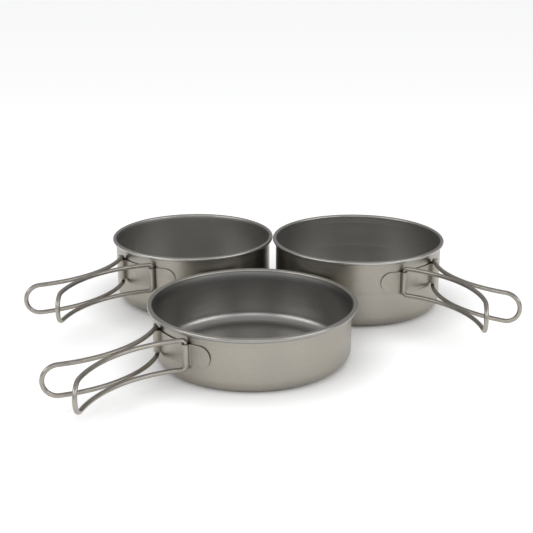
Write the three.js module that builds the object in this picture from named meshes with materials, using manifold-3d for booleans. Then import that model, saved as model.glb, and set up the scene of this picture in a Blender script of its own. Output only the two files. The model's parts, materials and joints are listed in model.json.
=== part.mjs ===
// A nesting titanium cook set: a wide pan, a small pot and a large pot, standing side by side.
// Each vessel is a deep-drawn shell with a rolled rim, a welded handle bracket and two folding wire handles.
// Units are millimetres, +Z is up, and the vessels stand on the plane z = 0.

import * as THREE from 'three';
import { mergeVertices } from 'three/addons/utils/BufferGeometryUtils.js';
import Module from 'manifold-3d';

const wasm = await Module();
wasm.setup();

// Sheet metal shared by the three shells, and the bead that is rolled at every rim.
const SHEET = 0.5;
const BEAD_RADIUS = 1.5;
const LATHE_SEGMENTS = 64;

// Wire handles: one bent wire each, identical on every vessel.
const WIRE_DIAMETER = 3.3;
const WIRE_SIDES = 8;
const HANDLE_ARC_RADIUS = 82.0;
const HANDLE_RUN = 92.5;
const LOOP_HALF_HEIGHT = 10.6;
const ENTRY_BEND_RADIUS = 2.7;
const PIN_END_OFFSET = 1.6;

// Handle bracket: one strap round the wall with two upright flutes that hold the wire ends.
const STRAP_THICKNESS = 0.8;
const STRAP_HEIGHT = 15.8;
const STRAP_ARC_HALF_LENGTH = 34.6;
const STRAP_WALL_GAP = 0.25;
const FLUTE_HALF_SPACING = 17.0;
const FLUTE_STANDOFF = 2.2;
const FLUTE_CLEARANCE = 0.2;
const BRACKET_DROP = 17.8;

const WIRE_RADIUS = WIRE_DIAMETER / 2;
const FLUTE_INNER_RADIUS = WIRE_RADIUS + FLUTE_CLEARANCE;
const FLUTE_OUTER_RADIUS = FLUTE_INNER_RADIUS + STRAP_THICKNESS;

// How many straight steps stand for each curve.
const STEPS = {
  corner: 4,
  flare: 2,
  bead: 5,
  lip: 4,
  flute: 8,
  tab: 14,
  strapEnd: 5,
  strapMiddle: 8,
  bend: 4,
  run: 15,
  tip: 12,
};

// Vertices closer than this are one vertex.
const WELD_DISTANCE = 1e-4;

// The tabs are cut with an outline this much taller than the strap, which leaves its long edges alone.
const TRIM_OVERSIZE = 1.001;

const { degToRad, radToDeg } = THREE.MathUtils;

// rimRadius is the outside of the rolled bead and wallRadius the outside of the wall.
// cornerRadius is the outside of the round corner between the wall and the base.
// lipDepth is how far below the rim the wall starts to curve outwards.
// bracketAngle is the direction the handles point in, in degrees from +X.
// A handle's lean is the angle that its wire leaves the flute at, turned towards the other handle.
const VESSELS = [
  {
    name: 'large_pot',
    centre: [74.0, 117.6],
    height: 54.7,
    wallRadius: 66.4,
    rimRadius: 69.0,
    cornerRadius: 9.0,
    lipDepth: 3.5,
    bracketAngle: -49.1,
    lean: { right: 46.0, left: 24.2 },
  },
  {
    name: 'small_pot',
    centre: [-60.3, 131.6],
    height: 52.3,
    wallRadius: 62.8,
    rimRadius: 65.6,
    cornerRadius: 11.5,
    lipDepth: 3.5,
    bracketAngle: 229.0,
    lean: { right: 33.5, left: 37.2 },
  },
  {
    name: 'pan',
    centre: [-9.9, 0],
    height: 42.1,
    wallRadius: 70.75,
    rimRadius: 75.0,
    cornerRadius: 9.0,
    lipDepth: 8.0,
    bracketAngle: 219.4,
    lean: { right: 25.2, left: 43.5 },
  },
];

const TITANIUM_OUTSIDE = { color: 0x9b978c, roughness: 0.45, metalness: 1.0 };
const TITANIUM_STRAP = { color: 0xa09c92, roughness: 0.4, metalness: 1.0 };
const TITANIUM_WIRE = { color: 0x8f8a80, roughness: 0.35, metalness: 1.0 };

function metal(finish) {
  return new THREE.MeshStandardMaterial(finish);
}

function namedMesh(name, geometry, finish) {
  const mesh = new THREE.Mesh(geometry, metal(finish));
  mesh.name = name;
  return mesh;
}

// Points of an elliptical arc, from one angle to another in degrees, with both ends.
function arcPoints(cx, cy, radiusX, radiusY, fromDegrees, toDegrees, steps) {
  const points = [];
  for (let i = 0; i <= steps; i += 1) {
    const angle = degToRad(fromDegrees + ((toDegrees - fromDegrees) * i) / steps);
    points.push(new THREE.Vector2(cx + radiusX * Math.cos(angle), cy + radiusY * Math.sin(angle)));
  }
  return points;
}

// The shell's section: up the outside, over the rolled rim and down the inside, axis to axis.
// The bead is round, and the lip is a quarter of an ellipse that runs from the wall to the bead's top.
function shellGeometry({ height, wallRadius, rimRadius, cornerRadius, lipDepth }) {
  const beadCentre = rimRadius - BEAD_RADIUS;
  const innerRadius = wallRadius - SHEET;
  const innerCorner = cornerRadius - SHEET;
  const cornerCentre = wallRadius - cornerRadius;
  const lipStart = height - lipDepth;
  const outerLipDepth = lipDepth - SHEET;
  const meetsBead = 180 - radToDeg(Math.asin((lipDepth - 2 * BEAD_RADIUS) / outerLipDepth));
  const profile = [
    new THREE.Vector2(0, 0),
    ...arcPoints(cornerCentre, cornerRadius, cornerRadius, cornerRadius, -90, 0, STEPS.corner),
    ...arcPoints(beadCentre, lipStart, beadCentre - wallRadius, outerLipDepth, 180, meetsBead, STEPS.flare),
    ...arcPoints(beadCentre, height - BEAD_RADIUS, BEAD_RADIUS, BEAD_RADIUS, -90, 90, STEPS.bead),
    ...arcPoints(beadCentre, lipStart, beadCentre - innerRadius, lipDepth, 90, 180, STEPS.lip).slice(1),
    ...arcPoints(cornerCentre, cornerRadius, innerCorner, innerCorner, 0, -90, STEPS.corner),
    new THREE.Vector2(0, SHEET),
  ];
  return new THREE.LatheGeometry(profile, LATHE_SEGMENTS).rotateX(Math.PI / 2);
}

// Turns a closed geometry into a manifold solid.
function toSolid(geometry) {
  const bare = geometry.clone();
  bare.deleteAttribute('normal');
  bare.deleteAttribute('uv');
  const merged = mergeVertices(bare, WELD_DISTANCE);
  return new wasm.Manifold(
    new wasm.Mesh({
      numProp: 3,
      vertProperties: new Float32Array(merged.attributes.position.array),
      triVerts: new Uint32Array(merged.index.array),
    }),
  );
}

function toGeometry(solid) {
  const mesh = solid.getMesh();
  const geometry = new THREE.BufferGeometry();
  geometry.setAttribute('position', new THREE.BufferAttribute(new Float32Array(mesh.vertProperties), 3));
  geometry.setIndex(new THREE.BufferAttribute(new Uint32Array(mesh.triVerts), 1));
  geometry.computeVertexNormals();
  return geometry;
}

// One side of the strap's plan: round the wall, with a half-round flute over each wire end.
// The vessel's axis is at the origin and the bracket's middle is on +X.
function strapSide(wallRadius, offset, fluteRadius) {
  const radius = wallRadius + offset;
  const pivotRadius = wallRadius + FLUTE_STANDOFF;
  const endAngle = radToDeg(STRAP_ARC_HALF_LENGTH / wallRadius);
  const fluteAngle = radToDeg(Math.asin(FLUTE_HALF_SPACING / pivotRadius));
  const footAngle = radToDeg(Math.asin(fluteRadius / radius));
  const points = [];
  const addWall = (from, to, steps) => points.push(...arcPoints(0, 0, radius, radius, from, to, steps));
  const addFlute = (angle) => {
    const turn = degToRad(angle);
    const x = pivotRadius * Math.cos(turn);
    const y = pivotRadius * Math.sin(turn);
    points.push(...arcPoints(x, y, fluteRadius, fluteRadius, angle - 90, angle + 90, STEPS.flute));
  };
  addWall(-endAngle, -fluteAngle - footAngle, STEPS.strapEnd);
  addFlute(-fluteAngle);
  addWall(-fluteAngle + footAngle, fluteAngle - footAngle, STEPS.strapMiddle);
  addFlute(fluteAngle);
  addWall(fluteAngle + footAngle, endAngle, STEPS.strapEnd);
  return points;
}

// The strap, bent from one sheet: its plan is extruded, then trimmed to tabs with round ends.
function bracketGeometry(wallRadius) {
  const outside = strapSide(wallRadius, STRAP_WALL_GAP + STRAP_THICKNESS, FLUTE_OUTER_RADIUS);
  const inside = strapSide(wallRadius, STRAP_WALL_GAP, FLUTE_INNER_RADIUS);
  const plan = new THREE.Shape([...outside, ...inside.reverse()]);
  const band = new THREE.ExtrudeGeometry(plan, { depth: STRAP_HEIGHT, bevelEnabled: false });
  band.translate(0, 0, -STRAP_HEIGHT / 2);

  const halfHeight = STRAP_HEIGHT / 2;
  const trimHalfHeight = halfHeight * TRIM_OVERSIZE;
  const outerRadius = wallRadius + STRAP_WALL_GAP + STRAP_THICKNESS;
  const tipY = outerRadius * Math.sin(STRAP_ARC_HALF_LENGTH / wallRadius);
  const tabY = outerRadius * Math.sin((STRAP_ARC_HALF_LENGTH - halfHeight) / wallRadius);
  const outline = new THREE.Shape([
    ...arcPoints(tabY, 0, tipY - tabY, trimHalfHeight, -90, 90, STEPS.tab),
    ...arcPoints(-tabY, 0, tipY - tabY, trimHalfHeight, 90, 270, STEPS.tab),
  ]);
  const trim = new THREE.ExtrudeGeometry(outline, { depth: 2 * wallRadius, bevelEnabled: false });
  trim.rotateX(Math.PI / 2).rotateZ(Math.PI / 2);
  return toGeometry(toSolid(band).intersect(toSolid(trim)));
}

// The middle line of a handle's wire. The pivot is the Z axis, the wire leaves along +X
// and curves towards +Y on a right-hand handle (side 1) or -Y on a left-hand one (side -1).
class WirePath extends THREE.Curve {
  constructor(side) {
    super();
    this.side = side;
    const bendStart = LOOP_HALF_HEIGHT - ENTRY_BEND_RADIUS;
    const pin = (u) => [0, PIN_END_OFFSET + (bendStart - PIN_END_OFFSET) * u];
    const bend = (u) => [
      ENTRY_BEND_RADIUS * (1 - Math.cos((u * Math.PI) / 2)),
      bendStart + ENTRY_BEND_RADIUS * Math.sin((u * Math.PI) / 2),
    ];
    const run = (u) => [ENTRY_BEND_RADIUS + (HANDLE_RUN - ENTRY_BEND_RADIUS) * u, LOOP_HALF_HEIGHT];
    const tip = (u) => [
      HANDLE_RUN + LOOP_HALF_HEIGHT * Math.sin(u * Math.PI),
      LOOP_HALF_HEIGHT * Math.cos(u * Math.PI),
    ];
    const mirrored = (piece) => (u) => {
      const [along, height] = piece(1 - u);
      return [along, -height];
    };
    this.pieces = [
      { steps: 1, at: pin },
      { steps: STEPS.bend, at: bend },
      { steps: STEPS.run, at: run },
      { steps: STEPS.tip, at: tip },
      { steps: STEPS.run, at: mirrored(run) },
      { steps: STEPS.bend, at: mirrored(bend) },
      { steps: 1, at: mirrored(pin) },
    ];
    this.steps = this.pieces.reduce((sum, piece) => sum + piece.steps, 0);
  }

  // Wraps a distance along the handle and a height onto the handle's curved plan.
  bendPlan(along, height) {
    const turn = along / HANDLE_ARC_RADIUS;
    const x = HANDLE_ARC_RADIUS * Math.sin(turn);
    const y = this.side * HANDLE_ARC_RADIUS * (1 - Math.cos(turn));
    return new THREE.Vector3(x, y, height);
  }

  getPoint(t) {
    let remaining = t * this.steps;
    for (const piece of this.pieces) {
      if (remaining <= piece.steps) {
        return this.bendPlan(...piece.at(remaining / piece.steps));
      }
      remaining -= piece.steps;
    }
    return this.bendPlan(...this.pieces.at(-1).at(1));
  }

  // Steps are spread by piece, closer together in the bends than on the long runs.
  getUtoTmapping(u) {
    return u;
  }
}

function handleGeometry(side) {
  const path = new WirePath(side);
  const section = new THREE.Shape(arcPoints(0, 0, WIRE_RADIUS, WIRE_RADIUS, 0, 360, WIRE_SIDES).slice(1));
  return new THREE.ExtrudeGeometry(section, { steps: path.steps, extrudePath: path, bevelEnabled: false });
}

// A handle hangs in its flute: its pivot stands off the wall, beside the bracket's middle.
function placedHandle(vessel, sideName, side) {
  const pivotRadius = vessel.wallRadius + FLUTE_STANDOFF;
  const handle = namedMesh(`${vessel.name}_${sideName}_handle`, handleGeometry(side), TITANIUM_WIRE);
  const pivotX = Math.sqrt(pivotRadius ** 2 - FLUTE_HALF_SPACING ** 2);
  handle.position.set(pivotX, side * FLUTE_HALF_SPACING, vessel.height - BRACKET_DROP);
  handle.rotation.z = -side * degToRad(vessel.lean[sideName]);
  return handle;
}

function vesselGroup(vessel) {
  const bracket = namedMesh(`${vessel.name}_bracket`, bracketGeometry(vessel.wallRadius), TITANIUM_STRAP);
  bracket.position.z = vessel.height - BRACKET_DROP;
  const group = new THREE.Group();
  group.add(
    namedMesh(`${vessel.name}_shell`, shellGeometry(vessel), TITANIUM_OUTSIDE),
    bracket,
    placedHandle(vessel, 'right', 1),
    placedHandle(vessel, 'left', -1),
  );
  group.position.set(...vessel.centre, 0);
  group.rotation.z = degToRad(vessel.bracketAngle);
  return group;
}

// The set's origin is under the middle of its bounding box.
const cookSet = new THREE.Group();
cookSet.add(...VESSELS.map(vesselGroup));
cookSet.updateMatrixWorld(true);
const middle = new THREE.Box3().setFromObject(cookSet, true).getCenter(new THREE.Vector3());
cookSet.position.set(-middle.x, -middle.y, 0);

export default cookSet;
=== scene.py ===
"""A titanium camping cook set: a wide pan, a small pot and a large pot, standing on a pale floor.

Each vessel is a thin drawn shell with a rolled rim, a strap bracket with two upright flutes, and two
folding handles, each bent from one wire. Every vessel is worked out from where its CAD nodes and
handle hinges are, so the fine meshes lie where the CAD solids do. Lengths are in metres.
"""

import json
import math

import bmesh
import bpy
from mathutils import Matrix, Vector


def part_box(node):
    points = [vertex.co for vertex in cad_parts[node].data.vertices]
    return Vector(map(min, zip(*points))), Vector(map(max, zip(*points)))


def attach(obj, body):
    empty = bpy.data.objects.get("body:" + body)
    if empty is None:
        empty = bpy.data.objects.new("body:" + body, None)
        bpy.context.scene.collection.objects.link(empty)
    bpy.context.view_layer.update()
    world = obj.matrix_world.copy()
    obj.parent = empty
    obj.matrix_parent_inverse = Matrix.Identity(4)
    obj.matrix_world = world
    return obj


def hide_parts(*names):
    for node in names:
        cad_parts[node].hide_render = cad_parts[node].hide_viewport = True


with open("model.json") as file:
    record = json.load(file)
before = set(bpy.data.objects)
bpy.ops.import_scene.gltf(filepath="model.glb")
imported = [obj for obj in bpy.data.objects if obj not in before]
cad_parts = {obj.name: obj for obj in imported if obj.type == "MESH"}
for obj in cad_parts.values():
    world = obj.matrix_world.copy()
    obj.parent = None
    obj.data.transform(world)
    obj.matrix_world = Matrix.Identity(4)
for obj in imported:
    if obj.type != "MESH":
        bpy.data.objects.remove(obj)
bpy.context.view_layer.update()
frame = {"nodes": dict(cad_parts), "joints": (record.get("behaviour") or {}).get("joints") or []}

MM = 0.001
SIDES = {"right": 1, "left": -1}

# Shell: one sheet, drawn to a round vessel and rolled outwards at the rim.
SHEET = 0.5 * MM
CORNER_RADIUS = {"large_pot": 9.0 * MM, "small_pot": 11.5 * MM, "pan": 9.0 * MM}
BEAD_RADIUS = {"large_pot": 1.5 * MM, "small_pot": 1.5 * MM, "pan": 1.85 * MM}
LIP_DEPTH = {"large_pot": 3.5 * MM, "small_pot": 3.5 * MM, "pan": 9.2 * MM}
CURL_END_DEGREES = -100
SHELL_SEGMENTS = 192
BASE_STEPS = 10
CORNER_STEPS = 20
WALL_STEP = 4 * MM
LIP_STEPS = 12
CURL_STEPS = 36
# A radius under this is a point on the axis.
ON_AXIS = 1e-9

# Faint rings that the drawing dies leave round the wall: share of the height, and depth.
DRAW_RINGS = {
    "large_pot": [(0.50, 0.05 * MM), (0.885, 0.05 * MM), (0.915, 0.04 * MM)],
    "small_pot": [(0.88, 0.04 * MM), (0.91, 0.03 * MM)],
    "pan": [(0.79, 0.05 * MM)],
}
RING_HALF_WIDTH = 0.45 * MM
# A ring's section: distance from its middle in half widths, and share of its depth.
RING_SECTION = ((-1.0, 0.0), (-0.5, 0.5), (0.0, 1.0), (0.5, 0.5), (1.0, 0.0))

# The rubbed band along the foot of the corner: how high it reaches, how far in from the wall it reaches
# in corner radii, and how worn it is, where the top of the rim is 1.
FOOT_BAND_HEIGHT = 1.6 * MM
FOOT_BAND_CORNERS = 1.2
FOOT_WEAR = 0.6

# Handle bracket: a strap round the wall, with a flute over each wire end.
STRAP_THICKNESS = 0.8 * MM
STRAP_WALL_GAP = 0.14 * MM
STRAP_HALF_HEIGHT = 7.9 * MM
STRAP_HALF_LENGTH = 34.6 * MM
STRAP_EDGE_BEVEL = 0.16 * MM
FLUTE_HALF_SPACING = 17.0 * MM
FLUTE_STANDOFF = 2.2 * MM
FLUTE_MIDDLE_RADIUS = 2.25 * MM
FLUTE_FOOT_OUTER = 0.95 * MM
FLUTE_FOOT_INNER = 0.45 * MM
# The share of its full radius that a flute's top is rounded by, so that its two arcs stay apart.
FLUTE_ROUNDNESS = 0.999
FILLET_STEPS = 10
STRAP_STEP = 2 * MM
TAB_STEP_DEGREES = 6
# Where the strap's vertices lie across it, from its lower edge at -1 to its upper edge at 1.
STRAP_COLUMNS = (-1, -0.75, -0.4, 0, 0.4, 0.75, 1)
BEVEL_SEGMENTS = 3
BEVEL_FROM_DEGREES = 60

# Handles: a wire bent to a long loop, which also curves in plan.
CAD_WIRE_RADIUS = 1.65 * MM
WIRE_RADIUS = 1.63 * MM
WIRE_SIDES = 24
HANDLE_ARC_RADIUS = 82.0 * MM
HANDLE_RUN = 92.5 * MM
LOOP_HALF_HEIGHT = 10.6 * MM
ENTRY_BEND_RADIUS = 2.7 * MM
PIN_END_OFFSET = 1.6 * MM
WIRE_END_CHAMFER = 0.4 * MM
PIN_STEPS = 3
BEND_STEPS = 10
RUN_STEPS = 36
TIP_STEPS = 20

# Edges that turn by more than this are shaded as sharp.
SHARP_SHEET_DEGREES = 50
SHARP_WIRE_DEGREES = 60

PIVOTS = {j["child"]: Vector(j["pos_m"]) for j in frame["joints"] if j["type"] == "hinge"}


class Vessel:
    """Where a vessel is and how big it is, read from its CAD nodes and its handles' hinges."""

    def __init__(self, name):
        low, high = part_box(f"{name}_shell")
        self.name = name
        self.centre = Vector(((low.x + high.x) / 2, (low.y + high.y) / 2, 0))
        self.height = high.z
        self.rim_radius = min(high.x - low.x, high.y - low.y) / 2
        self.corner_radius = CORNER_RADIUS[name]
        self.bead_radius = BEAD_RADIUS[name]
        self.lip_start = self.height - LIP_DEPTH[name]
        right = PIVOTS[f"{name}_right_handle"]
        left = PIVOTS[f"{name}_left_handle"]
        outward = (right + left) / 2 - self.centre
        self.bracket_angle = math.atan2(outward.y, outward.x)
        self.bracket_height = right.z
        self.pivot_radius = (right - self.centre).xy.length
        self.wall_radius = self.pivot_radius - FLUTE_STANDOFF


# ---------------------------------------------------------------- mesh tools


def arc(cx, cy, radius_x, radius_y, start, end, steps):
    """Points of an elliptical arc, from one angle to another in degrees, with both ends."""
    points = []
    for i in range(steps + 1):
        angle = math.radians(start + (end - start) * i / steps)
        points.append(Vector((cx + radius_x * math.cos(angle), cy + radius_y * math.sin(angle))))
    return points


def line(start, end, steps):
    """Evenly spaced points from start to end, without start."""
    return [start.lerp(end, (i + 1) / steps) for i in range(steps)]


def rounded(corners, steps):
    """A path through 2D corners given as (point, fillet radius), with each corner rounded by an arc."""
    path = [corners[0][0]]
    for (before, _), (corner, radius), (after, _) in zip(corners, corners[1:], corners[2:]):
        to_before = (before - corner).normalized()
        to_after = (after - corner).normalized()
        half_angle = to_before.angle(to_after) / 2
        reach = radius / math.tan(half_angle)
        middle = corner + (to_before + to_after).normalized() * (radius / math.sin(half_angle))
        first = (corner + to_before * reach - middle).normalized()
        last = (corner + to_after * reach - middle).normalized()
        path += [middle + first.slerp(last, i / steps) * radius for i in range(steps + 1)]
    path.append(corners[-1][0])
    return path


def lengths_along(points):
    """The distance along a path at each of its points."""
    lengths = [0.0]
    for a, b in zip(points, points[1:]):
        lengths.append(lengths[-1] + (b - a).length)
    return lengths


def offset_path(points, distance):
    """A 2D path moved sideways to its left by distance."""
    moved = []
    for i, point in enumerate(points):
        before = points[max(i - 1, 0)]
        after = points[min(i + 1, len(points) - 1)]
        along = (after - before).normalized()
        moved.append(point + Vector((-along.y, along.x)) * distance)
    return moved


def set_attribute(mesh, name, values):
    """Stores one number for each vertex, for the materials to read."""
    attribute = mesh.attributes.new(name, "FLOAT", "POINT")
    attribute.data.foreach_set("value", values)


def set_vector_attribute(mesh, name, vectors):
    """Stores one vector for each vertex, for the materials to read."""
    attribute = mesh.attributes.new(name, "FLOAT_VECTOR", "POINT")
    attribute.data.foreach_set("vector", [c for v in vectors for c in v])


def smooth(mesh, sharp_degrees):
    """Smooth shading, except across edges sharper than the given angle."""
    mesh.polygons.foreach_set("use_smooth", [True] * len(mesh.polygons))
    mesh.set_sharp_from_angle(angle=math.radians(sharp_degrees))


def add_piece(name, mesh, material, location, turn, body, node):
    """Places a mesh, gives it its material, ties it to its CAD body and hides the CAD node it replaces.
    """
    mesh.materials.append(material)
    mesh.transform(Matrix.Rotation(turn, 4, "Z"))
    piece = bpy.data.objects.new(name, mesh)
    bpy.context.scene.collection.objects.link(piece)
    piece.location = location
    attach(piece, body)
    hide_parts(node)
    return piece


def apply_modifiers(piece):
    """Bakes a piece's modifiers into its mesh."""
    graph = bpy.context.evaluated_depsgraph_get()
    baked = bpy.data.meshes.new_from_object(piece.evaluated_get(graph))
    plain = piece.data
    piece.modifiers.clear()
    piece.data = baked
    bpy.data.meshes.remove(plain)
    baked.name = piece.name


# ---------------------------------------------------------------- shells


def wall_points(vessel, radius, low, high):
    """The sheet's middle line up the wall, with the shallow rings left by drawing."""
    points = []
    for share, depth in sorted(DRAW_RINGS[vessel.name]):
        centre = share * vessel.height
        for step, dent in RING_SECTION:
            z = centre + step * RING_HALF_WIDTH
            if low < z < high:
                points.append(Vector((radius - dent * depth, z)))
    points.append(Vector((radius, high)))
    start = Vector((radius, low))
    filled = []
    for point in points:
        gap = (point - start).length
        filled += line(start, point, max(1, round(gap / WALL_STEP)))
        start = point
    return filled


def lean_out(start, end, steps):
    """Points from start up to end, upright at first and leaning out more and more, without start."""
    points = []
    for i in range(1, steps + 1):
        share = i / steps
        x = start.x + (end.x - start.x) * share**2
        z = start.y + (end.y - start.y) * share
        points.append(Vector((x, z)))
    return points


def shell_middle(vessel):
    """The sheet's middle line: out along the base, up the wall, out at the lip and round the curl."""
    half = SHEET / 2
    wall = vessel.wall_radius - half
    corner = vessel.corner_radius - half
    bead_x = vessel.rim_radius - vessel.bead_radius
    bead_z = vessel.height - vessel.bead_radius
    curl = vessel.bead_radius - half
    neck = Vector((bead_x - curl, bead_z))
    path = line(Vector((0, half)), Vector((wall - corner, half)), BASE_STEPS)
    path += arc(wall - corner, half + corner, corner, corner, -90, 0, CORNER_STEPS)[1:]
    path += wall_points(vessel, wall, half + corner, vessel.lip_start)
    path += lean_out(path[-1], neck, LIP_STEPS)
    path += arc(bead_x, bead_z, curl, curl, 180, CURL_END_DEGREES, CURL_STEPS)[1:]
    return [Vector((0, half))] + path


def lathe(outline, segments):
    """A closed surface turned round Z from an open outline of (radius, height) that ends on the axis."""
    vertices = []
    rows = []
    for radius, z in outline:
        if radius < ON_AXIS:
            rows.append([len(vertices)] * segments)
            vertices.append((0.0, 0.0, z))
            continue
        rows.append(list(range(len(vertices), len(vertices) + segments)))
        for i in range(segments):
            angle = 2 * math.pi * i / segments
            vertices.append((radius * math.cos(angle), radius * math.sin(angle), z))
    faces = []
    for low, high in zip(rows, rows[1:]):
        for i in range(segments):
            j = (i + 1) % segments
            corners = [low[i], low[j], high[j], high[i]]
            faces.append(list(dict.fromkeys(corners)))
    return vertices, faces, rows


def shell_mesh(vessel):
    """The vessel's sheet, with the numbers its finish reads: distance along, the inside share that gets
    painted light or painted shade, and wear.
    """
    middle = shell_middle(vessel)
    outside = offset_path(middle, -SHEET / 2)
    inside = offset_path(middle, SHEET / 2)
    outside[0].x = inside[0].x = 0.0
    outline = outside + inside[::-1]
    vertices, faces, rows = lathe(outline, SHELL_SEGMENTS)
    mesh = bpy.data.meshes.new(f"{vessel.name}_drawn_shell")
    mesh.from_pydata(vertices, [], faces)

    lengths = lengths_along(outline)
    bead_middle = vessel.height - vessel.bead_radius
    along = [0.0] * len(vertices)
    inside_paint_share = [0.0] * len(vertices)
    wear = [0.0] * len(vertices)
    for index, row in enumerate(rows):
        radius, z = outline[index]
        is_inside = index >= len(outside)
        on_rim = max(0.0, min(1.0, (z - bead_middle) / vessel.bead_radius))
        at_corner = radius > vessel.wall_radius - FOOT_BAND_CORNERS * vessel.corner_radius
        foot = max(0.0, 1 - z / FOOT_BAND_HEIGHT) if at_corner else 0.0
        for vertex in row:
            along[vertex] = lengths[index]
            # The inside below the rim is where the painted light or painted shade of the inside colour
            # goes.
            inside_paint_share[vertex] = (1.0 - on_rim) if is_inside else 0.0
            wear[vertex] = max(on_rim, foot * FOOT_WEAR)
    set_attribute(mesh, "along", along)
    set_attribute(mesh, "inside", inside_paint_share)
    set_attribute(mesh, "wear", wear)
    smooth(mesh, SHARP_SHEET_DEGREES)
    return mesh


# ---------------------------------------------------------------- brackets


def strap_middle(vessel):
    """The strap's middle line as (distance round the wall, distance off the wall)."""
    off = STRAP_WALL_GAP + STRAP_THICKNESS / 2
    top = FLUTE_STANDOFF + FLUTE_MIDDLE_RADIUS
    centre = vessel.wall_radius * math.asin(FLUTE_HALF_SPACING / vessel.pivot_radius)
    flute_fillet = FLUTE_MIDDLE_RADIUS * FLUTE_ROUNDNESS
    corners = [(Vector((-STRAP_HALF_LENGTH, off)), 0)]
    for side in (-1, 1):
        low = side * centre - FLUTE_MIDDLE_RADIUS
        high = side * centre + FLUTE_MIDDLE_RADIUS
        feet = (FLUTE_FOOT_OUTER, FLUTE_FOOT_INNER)[::-side]
        corners.append((Vector((low, off)), feet[0]))
        corners.append((Vector((low, top)), flute_fillet))
        corners.append((Vector((high, top)), flute_fillet))
        corners.append((Vector((high, off)), feet[1]))
    corners.append((Vector((STRAP_HALF_LENGTH, off)), 0))
    return rounded(corners, FILLET_STEPS)


def strap_stations(vessel):
    """The middle line with points added on its long stretches and close together on its round tabs."""
    path = strap_middle(vessel)
    tab = STRAP_HALF_LENGTH - STRAP_HALF_HEIGHT
    off = path[0].y
    round_end = []
    for angle in range(0, 90, TAB_STEP_DEGREES):
        round_end.append(Vector((tab + STRAP_HALF_HEIGHT * math.sin(math.radians(angle)), off)))
    stations = [Vector((-p.x, p.y)) for p in reversed(round_end)]
    previous = stations[-1]
    for point in path[1:-1] + [round_end[0]]:
        steps = max(1, math.ceil((point - previous).length / STRAP_STEP))
        stations += line(previous, point, steps)
        previous = point
    return stations + round_end[1:]


def strap_half_height(distance):
    """Half the strap's height at a distance round the wall from its middle."""
    past = abs(distance) - (STRAP_HALF_LENGTH - STRAP_HALF_HEIGHT)
    if past <= 0:
        return STRAP_HALF_HEIGHT
    return math.sqrt(max(0.0, STRAP_HALF_HEIGHT**2 - past**2))


def wrap(vessel, distance, off, z):
    """A point given round and off the wall, in the bracket's own frame."""
    angle = distance / vessel.wall_radius
    radius = vessel.wall_radius + off
    return (radius * math.cos(angle), radius * math.sin(angle), z)


def bracket_mesh(vessel):
    """The strap's middle surface: rows of points across its height, and one point at each tab's end."""
    off = STRAP_WALL_GAP + STRAP_THICKNESS / 2
    vertices = [wrap(vessel, -STRAP_HALF_LENGTH, off, 0)]
    rows = []
    for station in strap_stations(vessel):
        half = strap_half_height(station.x)
        rows.append(list(range(len(vertices), len(vertices) + len(STRAP_COLUMNS))))
        vertices += [wrap(vessel, station.x, station.y, half * column) for column in STRAP_COLUMNS]
    last = len(vertices)
    vertices.append(wrap(vessel, STRAP_HALF_LENGTH, off, 0))
    faces = []
    for a, b in zip(rows, rows[1:]):
        faces += [[a[i], b[i], b[i + 1], a[i + 1]] for i in range(len(STRAP_COLUMNS) - 1)]
    faces += [[0, rows[0][i], rows[0][i + 1]] for i in range(len(STRAP_COLUMNS) - 1)]
    faces += [[rows[-1][i], last, rows[-1][i + 1]] for i in range(len(STRAP_COLUMNS) - 1)]
    mesh = bpy.data.meshes.new(f"{vessel.name}_strap_bracket")
    mesh.from_pydata(vertices, [], faces)
    return mesh


def edge_shade_share(vessel, vertex):
    """How much painted shade a vertex gets on the strap's sheared edge, from 0 to 1, by the way its
    normal points.
    """
    middle = Vector((math.cos(vessel.bracket_angle), math.sin(vessel.bracket_angle)))
    outward = vertex.co.xy.normalized()
    flute_angle = math.asin(FLUTE_HALF_SPACING / vessel.pivot_radius)
    flute_foot = FLUTE_MIDDLE_RADIUS + FLUTE_FOOT_OUTER + STRAP_THICKNESS / 2
    if outward.angle(middle) > flute_angle + flute_foot / vessel.wall_radius:
        return 1 - abs(vertex.normal.xy.dot(outward))
    return abs(vertex.normal.z)


def thicken_strap(vessel, piece):
    """Gives the strap its thickness, rounds its sheared edges and marks them for painted shade."""
    solidify = piece.modifiers.new("thickness", "SOLIDIFY")
    solidify.thickness = STRAP_THICKNESS
    solidify.offset = 0.0
    solidify.use_even_offset = True
    bevel = piece.modifiers.new("rounded_edges", "BEVEL")
    bevel.width = STRAP_EDGE_BEVEL
    bevel.segments = BEVEL_SEGMENTS
    bevel.limit_method = "ANGLE"
    bevel.angle_limit = math.radians(BEVEL_FROM_DEGREES)
    apply_modifiers(piece)
    mesh = piece.data
    smooth(mesh, SHARP_SHEET_DEGREES)
    set_attribute(mesh, "edge", [edge_shade_share(vessel, vertex) for vertex in mesh.vertices])


# ---------------------------------------------------------------- handles


def wire_plan(side, along, height):
    """Wraps a distance along the handle and a height onto the handle's curved plan."""
    turn = along / HANDLE_ARC_RADIUS
    x = HANDLE_ARC_RADIUS * math.sin(turn)
    y = side * HANDLE_ARC_RADIUS * (1 - math.cos(turn))
    return Vector((x, y, height))


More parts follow.
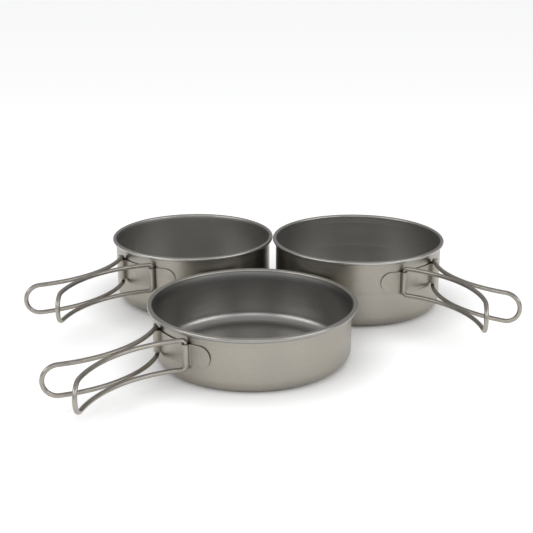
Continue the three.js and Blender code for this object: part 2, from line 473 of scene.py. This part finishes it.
def wire_middle():
    """The wire's middle line as (distance along the handle, height), from its lower end to its upper."""
    bend_z = LOOP_HALF_HEIGHT - ENTRY_BEND_RADIUS
    upper = [Vector((0, PIN_END_OFFSET)), Vector((0, PIN_END_OFFSET + WIRE_END_CHAMFER))]
    upper += line(upper[-1], Vector((0, bend_z)), PIN_STEPS)
    upper += arc(ENTRY_BEND_RADIUS, bend_z, ENTRY_BEND_RADIUS, ENTRY_BEND_RADIUS, 180, 90, BEND_STEPS)[1:]
    upper += line(upper[-1], Vector((HANDLE_RUN, LOOP_HALF_HEIGHT)), RUN_STEPS)
    upper += arc(HANDLE_RUN, 0, LOOP_HALF_HEIGHT, LOOP_HALF_HEIGHT, 90, 0, TIP_STEPS)[1:]
    lower = [Vector((p.x, -p.y)) for p in upper[:-1]]
    return lower + upper[::-1]


def handle_mesh(name, side):
    """A round wire swept along the middle line. Its section turns with the curved surface it lies in."""
    flat = wire_middle()
    path = [wire_plan(side, p.x, p.y) for p in flat]
    lengths = lengths_along(path)
    vertices = []
    rows = []
    drawn = []
    for i, (point, at) in enumerate(zip(path, flat)):
        tangent = (path[min(i + 1, len(path) - 1)] - path[max(i - 1, 0)]).normalized()
        turn = at.x / HANDLE_ARC_RADIUS
        across = Vector((math.sin(turn), -side * math.cos(turn), 0)) * side
        beside = tangent.cross(across).normalized()
        radius = WIRE_RADIUS - (WIRE_END_CHAMFER if i in (0, len(path) - 1) else 0.0)
        rows.append(list(range(len(vertices), len(vertices) + WIRE_SIDES)))
        for k in range(WIRE_SIDES):
            angle = 2 * math.pi * k / WIRE_SIDES
            around = across * math.cos(angle) + beside * math.sin(angle)
            vertices.append(point + around * radius)
            drawn.append((WIRE_RADIUS * math.cos(angle), WIRE_RADIUS * math.sin(angle), lengths[i]))
    faces = [rows[0][::-1], rows[-1]]
    for a, b in zip(rows, rows[1:]):
        for k in range(WIRE_SIDES):
            j = (k + 1) % WIRE_SIDES
            faces.append([a[k], a[j], b[j], b[k]])
    mesh = bpy.data.meshes.new(name)
    mesh.from_pydata(vertices, [], faces)
    set_vector_attribute(mesh, "drawn", drawn)
    solid = bmesh.new()
    solid.from_mesh(mesh)
    bmesh.ops.recalc_face_normals(solid, faces=solid.faces)
    solid.to_mesh(mesh)
    solid.free()
    smooth(mesh, SHARP_WIRE_DEGREES)
    return mesh


def handle_heading(node, pivot, side):
    """The direction that the wire leaves its hinge in, worked out from the CAD wire's farthest point.

    The CAD wire has eight sides, and its farthest point is the one turned 45 degrees outwards at its tip.
    """
    points = [vertex.co for vertex in frame["nodes"][node].data.vertices]
    farthest = max(points, key=lambda co: (co - pivot).xy.length) - pivot
    turn = (HANDLE_RUN + LOOP_HALF_HEIGHT) / HANDLE_ARC_RADIUS
    x = HANDLE_ARC_RADIUS * math.sin(turn) + CAD_WIRE_RADIUS * math.cos(turn - math.pi / 4)
    y = HANDLE_ARC_RADIUS * (1 - math.cos(turn)) + CAD_WIRE_RADIUS * math.sin(turn - math.pi / 4)
    return math.atan2(farthest.y, farthest.x) - side * math.atan2(y, x)


# ---------------------------------------------------------------- materials


class Shader:
    """Builds a material's nodes: add() makes one, sets its inputs by name and links sockets to them."""

    def __init__(self, name):
        self.material = bpy.data.materials.new(name)
        self.material.use_nodes = True
        self.tree = self.material.node_tree
        self.tree.nodes.clear()

    def add(self, kind, settings, inputs):
        node = self.tree.nodes.new(kind)
        for key, value in settings.items():
            setattr(node, key, value)
        for key, value in inputs.items():
            if isinstance(value, bpy.types.NodeSocket):
                self.tree.links.new(value, node.inputs[key])
            else:
                node.inputs[key].default_value = value
        return node

    def attribute(self, name, output="Fac"):
        return self.add("ShaderNodeAttribute", {"attribute_name": name}, {}).outputs[output]

    def object_coordinates(self):
        return self.add("ShaderNodeTexCoord", {}, {}).outputs["Object"]

    def noise(self, vector, scale, detail):
        inputs = {"Vector": vector, "Scale": scale, "Detail": detail, "Roughness": NOISE_ROUGHNESS}
        return self.add("ShaderNodeTexNoise", {}, inputs).outputs["Fac"]

    def noise_1d(self, value, scale, detail):
        settings = {"noise_dimensions": "1D"}
        inputs = {"W": value, "Scale": scale, "Detail": detail}
        return self.add("ShaderNodeTexNoise", settings, inputs).outputs["Fac"]

    def spread(self, value, low, high, to_low, to_high):
        inputs = {"Value": value, "From Min": low, "From Max": high, "To Min": to_low, "To Max": to_high}
        return self.add("ShaderNodeMapRange", {}, inputs).outputs["Result"]

    def vary(self, noise, low, high):
        """Spreads the usual range of a noise over low to high."""
        return self.spread(noise, NOISE_LOW, NOISE_HIGH, low, high)

    def math(self, operation, a, b):
        node = self.add("ShaderNodeMath", {"operation": operation}, {})
        for index, value in enumerate((a, b)):
            if isinstance(value, bpy.types.NodeSocket):
                self.tree.links.new(value, node.inputs[index])
            else:
                node.inputs[index].default_value = value
        return node.outputs[0]

    def mix(self, factor, a, b):
        inputs = {"Fac": factor, "Color1": a, "Color2": b}
        return self.add("ShaderNodeMixRGB", {"blend_type": "MIX"}, inputs).outputs["Color"]

    def tint(self, colour, factor):
        """A colour made lighter or darker by a number."""
        inputs = {"Fac": 1.0, "Color1": colour, "Color2": factor}
        return self.add("ShaderNodeMixRGB", {"blend_type": "MULTIPLY"}, inputs).outputs["Color"]

    def bump(self, height, distance, normal=None):
        inputs = {"Height": height, "Distance": distance, "Strength": 1.0}
        if normal is not None:
            inputs["Normal"] = normal
        return self.add("ShaderNodeBump", {}, inputs).outputs["Normal"]

    def finish(self, colour, roughness, normal):
        inputs = {"Base Color": colour, "Metallic": 1.0, "Roughness": roughness, "Normal": normal}
        surface = self.add("ShaderNodeBsdfPrincipled", {}, inputs)
        self.add("ShaderNodeOutputMaterial", {}, {"Surface": surface.outputs["BSDF"]})
        return self.material


NOISE_ROUGHNESS = 0.55
NOISE_LOW = 0.3
NOISE_HIGH = 0.7

# How fine each pattern is: roughly how many patches or lines there are in a metre.
SHEET_MOTTLE_SCALE = 38.0
STRAP_MOTTLE_SCALE = 260.0
SHEET_GRAIN_SCALE = 2600.0
TURNED_LINE_SCALE = 1400.0
DIE_LINE_SCALE = 2200.0
RUBBED_PATCH_SCALE = 220.0
WIRE_GRAIN_SCALE = 3000.0

# The die lines are drawn out along the wire, which is its third direction.
DIE_LINE_STRETCH = (1.0, 1.0, 0.03)

# How deep the grain and the lines look.
SHEET_GRAIN_DEPTH = 0.012 * MM
TURNED_LINE_DEPTH = 0.006 * MM
STRAP_MOTTLE_DEPTH = 0.05 * MM
DIE_LINE_DEPTH = 0.005 * MM
WIRE_GRAIN_DEPTH = 0.003 * MM

WARM = (0.366, 0.341, 0.294, 1.0)
COOL = (0.338, 0.321, 0.284, 1.0)
WORN = (0.460, 0.440, 0.405, 1.0)
# Painted shade: the dark colour on the strap's sheared edges, which stands in for the shadow in the thin
# gap under the strap.
EDGE_PAINTED_SHADE = (0.070, 0.066, 0.060, 1.0)
# Inside colours: painted light on the pots' insides, which are lighter than the outside, and painted
# shade on the pan's inside, which is darker.
POT_INSIDE_PAINTED_LIGHT = (0.500, 0.493, 0.474, 1.0)
PAN_INSIDE_PAINTED_SHADE = (0.340, 0.335, 0.322, 1.0)
WIRE_LIGHT = (0.400, 0.372, 0.330, 1.0)
WIRE_DARK = (0.310, 0.290, 0.262, 1.0)


def shell_titanium(name, inside):
    """Blasted sheet: fine grain, faint turned lines, an inside colour that is painted light or painted
    shade, rubbed rim and foot.
    """
    shader = Shader(name)
    position = shader.object_coordinates()
    mottle = shader.noise(position, SHEET_MOTTLE_SCALE, detail=4.0)
    grain = shader.noise(position, SHEET_GRAIN_SCALE, detail=2.0)
    turned = shader.noise_1d(shader.attribute("along"), TURNED_LINE_SCALE, detail=4.0)
    patch = shader.vary(mottle, 0.0, 1.0)
    outside = shader.mix(patch, WARM, COOL)
    # The inside below the rim gets the inside colour: painted light on the pots, painted shade on the
    # pan.
    colour = shader.mix(shader.attribute("inside"), outside, inside)
    worn = shader.math("MULTIPLY", shader.attribute("wear"), shader.vary(mottle, 0.35, 1.0))
    colour = shader.mix(worn, colour, WORN)
    colour = shader.tint(colour, shader.vary(grain, 0.92, 1.06))
    colour = shader.tint(colour, shader.vary(turned, 0.96, 1.03))
    roughness = shader.vary(mottle, 0.32, 0.36)
    roughness = shader.math("ADD", roughness, shader.vary(turned, -0.03, 0.03))
    roughness = shader.math("SUBTRACT", roughness, shader.math("MULTIPLY", worn, 0.08))
    normal = shader.bump(grain, SHEET_GRAIN_DEPTH)
    normal = shader.bump(turned, TURNED_LINE_DEPTH, normal)
    return shader.finish(colour, roughness, normal)


def strap_titanium():
    """Sheared strip: the same blasted sheet, with painted shade on its sheared edges."""
    shader = Shader("strap_titanium")
    position = shader.object_coordinates()
    mottle = shader.noise(position, STRAP_MOTTLE_SCALE, detail=4.0)
    grain = shader.noise(position, SHEET_GRAIN_SCALE, detail=2.0)
    colour = shader.mix(shader.spread(mottle, 0.35, 0.65, 0.0, 1.0), WARM, COOL)
    # Painted shade on the sheared edges, standing in for the shadow in the gap under the strap.
    edge_shade = shader.math("MULTIPLY", shader.attribute("edge"), shader.vary(mottle, 0.8, 1.0))
    colour = shader.mix(edge_shade, colour, EDGE_PAINTED_SHADE)
    colour = shader.tint(colour, shader.vary(grain, 0.92, 1.07))
    roughness = shader.vary(mottle, 0.33, 0.41)
    roughness = shader.math("ADD", roughness, shader.math("MULTIPLY", edge_shade, 0.1))
    normal = shader.bump(grain, SHEET_GRAIN_DEPTH)
    normal = shader.bump(mottle, STRAP_MOTTLE_DEPTH, normal)
    return shader.finish(colour, roughness, normal)


def wire_titanium():
    """Drawn wire: long fine die lines along its length and small rubbed patches."""
    shader = Shader("drawn_wire_titanium")
    drawn = shader.attribute("drawn", "Vector")
    mapping = shader.add("ShaderNodeMapping", {}, {"Vector": drawn, "Scale": DIE_LINE_STRETCH})
    streaks = shader.noise(mapping.outputs["Vector"], DIE_LINE_SCALE, detail=3.0)
    patches = shader.noise(drawn, RUBBED_PATCH_SCALE, detail=3.0)
    grain = shader.noise(drawn, WIRE_GRAIN_SCALE, detail=2.0)
    colour = shader.mix(shader.vary(streaks, 0.0, 1.0), WIRE_DARK, WIRE_LIGHT)
    colour = shader.tint(colour, shader.vary(patches, 0.93, 1.08))
    roughness = shader.vary(patches, 0.27, 0.36)
    normal = shader.bump(streaks, DIE_LINE_DEPTH)
    normal = shader.bump(grain, WIRE_GRAIN_DEPTH, normal)
    return shader.finish(colour, roughness, normal)


# ---------------------------------------------------------------- the set


def add_shell(vessel, material):
    """The vessel's drawn shell, in place of its CAD shell."""
    return add_piece(
        name=f"{vessel.name}_drawn_shell",
        mesh=shell_mesh(vessel),
        material=material,
        location=vessel.centre,
        turn=vessel.bracket_angle,
        body=vessel.name,
        node=f"{vessel.name}_shell",
    )


def add_bracket(vessel, material):
    """The vessel's strap bracket, in place of its CAD bracket."""
    piece = add_piece(
        name=f"{vessel.name}_strap_bracket",
        mesh=bracket_mesh(vessel),
        material=material,
        location=vessel.centre + Vector((0, 0, vessel.bracket_height)),
        turn=vessel.bracket_angle,
        body=vessel.name,
        node=f"{vessel.name}_bracket",
    )
    thicken_strap(vessel, piece)
    return piece


def add_handle(vessel, side_name, material):
    """One wire handle with its origin at its hinge, in place of its CAD handle."""
    side = SIDES[side_name]
    node = f"{vessel.name}_{side_name}_handle"
    pivot = PIVOTS[node]
    return add_piece(
        name=f"{vessel.name}_{side_name}_wire_handle",
        mesh=handle_mesh(f"{vessel.name}_{side_name}_wire_handle", side),
        material=material,
        location=pivot,
        turn=handle_heading(node, pivot, side),
        body=node,
        node=node,
    )


# ---------------------------------------------------------------- studio


CAMERA_BACK = 771.3 * MM
CAMERA_SIDE = -1.9 * MM
CAMERA_HEIGHT = 307.7 * MM
CAMERA_PITCH_DEGREES = 18.0
CAMERA_LENS_MM = 74.5
CAMERA_SENSOR_MM = 36.0
CAMERA_NEAR = 0.01
CAMERA_FAR = 100.0

# The floor: pale and dull, with a little glow of its own that fades close to what stands on it.
FLOOR_HALF_SIZE = 30.0
FLOOR_COLOUR = (0.94, 0.94, 0.94, 1.0)
FLOOR_ROUGHNESS = 0.9
FLOOR_SPECULAR = 0.1
FLOOR_GLOW = 0.47
FLOOR_SHADE_REACH = 40 * MM
FLOOR_SHADE_POWER = 2.0

# The studio's light by how far up a direction points, from 0 for level and below to 1 for overhead.
WHITE = (1.0, 1.0, 1.0, 1.0)
SKY_STRENGTH = 1.45
SKY_STOPS = [
    (0.0, (0.230, 0.236, 0.250)),
    (0.45, (0.280, 0.282, 0.288)),
    (0.65, (0.35, 0.35, 0.35)),
    (1.0, (0.40, 0.40, 0.40)),
]

# Three low soft boxes in an arc round the front, which light the rims and the inner corners.
# Each is given by its direction from the front in degrees, its width and height, and its watts.
BOX_DISTANCE = 1.15
BOX_HEIGHT = 0.60
SOFT_BOXES = {
    "front_box": (0, (0.8, 0.35), 1.8),
    "left_box": (-60, (1.2, 0.35), 4.2),
    "right_box": (60, (1.2, 0.35), 4.2),
}


def add_camera():
    """A long lens in front of the set, a little above it and tipped down."""
    data = bpy.data.cameras.new("camera")
    data.lens = CAMERA_LENS_MM
    data.sensor_width = CAMERA_SENSOR_MM
    data.clip_start = CAMERA_NEAR
    data.clip_end = CAMERA_FAR
    camera = bpy.data.objects.new("camera", data)
    camera.location = (CAMERA_SIDE, -CAMERA_BACK, CAMERA_HEIGHT)
    camera.rotation_euler = (math.radians(90 - CAMERA_PITCH_DEGREES), 0, 0)
    bpy.context.scene.collection.objects.link(camera)
    bpy.context.scene.camera = camera


def floor_material():
    """A dull pale surface, with a glow that is darker the less open sky a point has around it."""
    material = bpy.data.materials.new("pale_floor")
    material.use_nodes = True
    tree = material.node_tree
    surface = tree.nodes["Principled BSDF"]
    surface.inputs["Base Color"].default_value = FLOOR_COLOUR
    surface.inputs["Roughness"].default_value = FLOOR_ROUGHNESS
    surface.inputs["Specular IOR Level"].default_value = FLOOR_SPECULAR
    surface.inputs["Emission Color"].default_value = WHITE
    open_sky = tree.nodes.new("ShaderNodeAmbientOcclusion")
    open_sky.inputs["Distance"].default_value = FLOOR_SHADE_REACH
    shade = tree.nodes.new("ShaderNodeMath")
    shade.operation = "POWER"
    shade.inputs[1].default_value = FLOOR_SHADE_POWER
    glow = tree.nodes.new("ShaderNodeMath")
    glow.operation = "MULTIPLY"
    glow.inputs[1].default_value = FLOOR_GLOW
    tree.links.new(open_sky.outputs["AO"], shade.inputs[0])
    tree.links.new(shade.outputs[0], glow.inputs[0])
    tree.links.new(glow.outputs[0], surface.inputs["Emission Strength"])
    return material


def add_floor():
    """A wide flat floor, which is part of the stage and not of the set."""
    size = FLOOR_HALF_SIZE
    mesh = bpy.data.meshes.new("floor")
    corners = [(-size, -size, 0), (size, -size, 0), (size, size, 0), (-size, size, 0)]
    mesh.from_pydata(corners, [], [(0, 1, 2, 3)])
    mesh.materials.append(floor_material())
    floor = bpy.data.objects.new("floor", mesh)
    bpy.context.scene.collection.objects.link(floor)


def add_world():
    """A soft studio: brightest overhead, darker towards the horizon, and white behind the set."""
    world = bpy.data.worlds.new("studio")
    bpy.context.scene.world = world
    world.use_nodes = True
    tree = world.node_tree
    tree.nodes.clear()
    direction = tree.nodes.new("ShaderNodeTexCoord")
    split = tree.nodes.new("ShaderNodeSeparateXYZ")
    tree.links.new(direction.outputs["Generated"], split.inputs[0])
    ramp = tree.nodes.new("ShaderNodeValToRGB")
    tree.links.new(split.outputs["Z"], ramp.inputs["Fac"])
    stops = ramp.color_ramp.elements
    while len(stops) < len(SKY_STOPS):
        stops.new(0.5)
    for stop, (upward, colour) in zip(stops, SKY_STOPS):
        stop.position = upward
        stop.color = (*colour, 1)
    light = tree.nodes.new("ShaderNodeBackground")
    light.inputs["Strength"].default_value = SKY_STRENGTH
    tree.links.new(ramp.outputs["Color"], light.inputs["Color"])
    backdrop = tree.nodes.new("ShaderNodeBackground")
    backdrop.inputs["Strength"].default_value = 1.0
    backdrop.inputs["Color"].default_value = WHITE
    path = tree.nodes.new("ShaderNodeLightPath")
    choose = tree.nodes.new("ShaderNodeMixShader")
    tree.links.new(path.outputs["Is Camera Ray"], choose.inputs[0])
    tree.links.new(light.outputs[0], choose.inputs[1])
    tree.links.new(backdrop.outputs[0], choose.inputs[2])
    output = tree.nodes.new("ShaderNodeOutputWorld")
    tree.links.new(choose.outputs[0], output.inputs["Surface"])


def add_soft_box(name, turn, size, power):
    """A soft box at its turn round the front, aimed at the middle of the set."""
    angle = math.radians(turn)
    location = Vector((BOX_DISTANCE * math.sin(angle), -BOX_DISTANCE * math.cos(angle), BOX_HEIGHT))
    data = bpy.data.lights.new(name, "AREA")
    data.shape = "RECTANGLE"
    data.size, data.size_y = size
    data.energy = power
    light = bpy.data.objects.new(name, data)
    light.location = location
    light.rotation_euler = (-location).to_track_quat("-Z", "Y").to_euler()
    bpy.context.scene.collection.objects.link(light)


bpy.context.scene.view_settings.view_transform = "Standard"
add_camera()
add_floor()
add_world()
for box_name, (turn, size, power) in SOFT_BOXES.items():
    add_soft_box(box_name, turn, size, power)

# The pots' insides are painted lighter and the pan's inside painted darker: painted light and painted
# shade on the same sheet.
pot_finish = shell_titanium("blasted_titanium_pot", POT_INSIDE_PAINTED_LIGHT)
pan_finish = shell_titanium("blasted_titanium_pan", PAN_INSIDE_PAINTED_SHADE)
strap_finish = strap_titanium()
wire_finish = wire_titanium()
for vessel in (Vessel("large_pot"), Vessel("small_pot"), Vessel("pan")):
    add_shell(vessel, pan_finish if vessel.name == "pan" else pot_finish)
    add_bracket(vessel, strap_finish)
    for side_name in SIDES:
        add_handle(vessel, side_name, wire_finish)
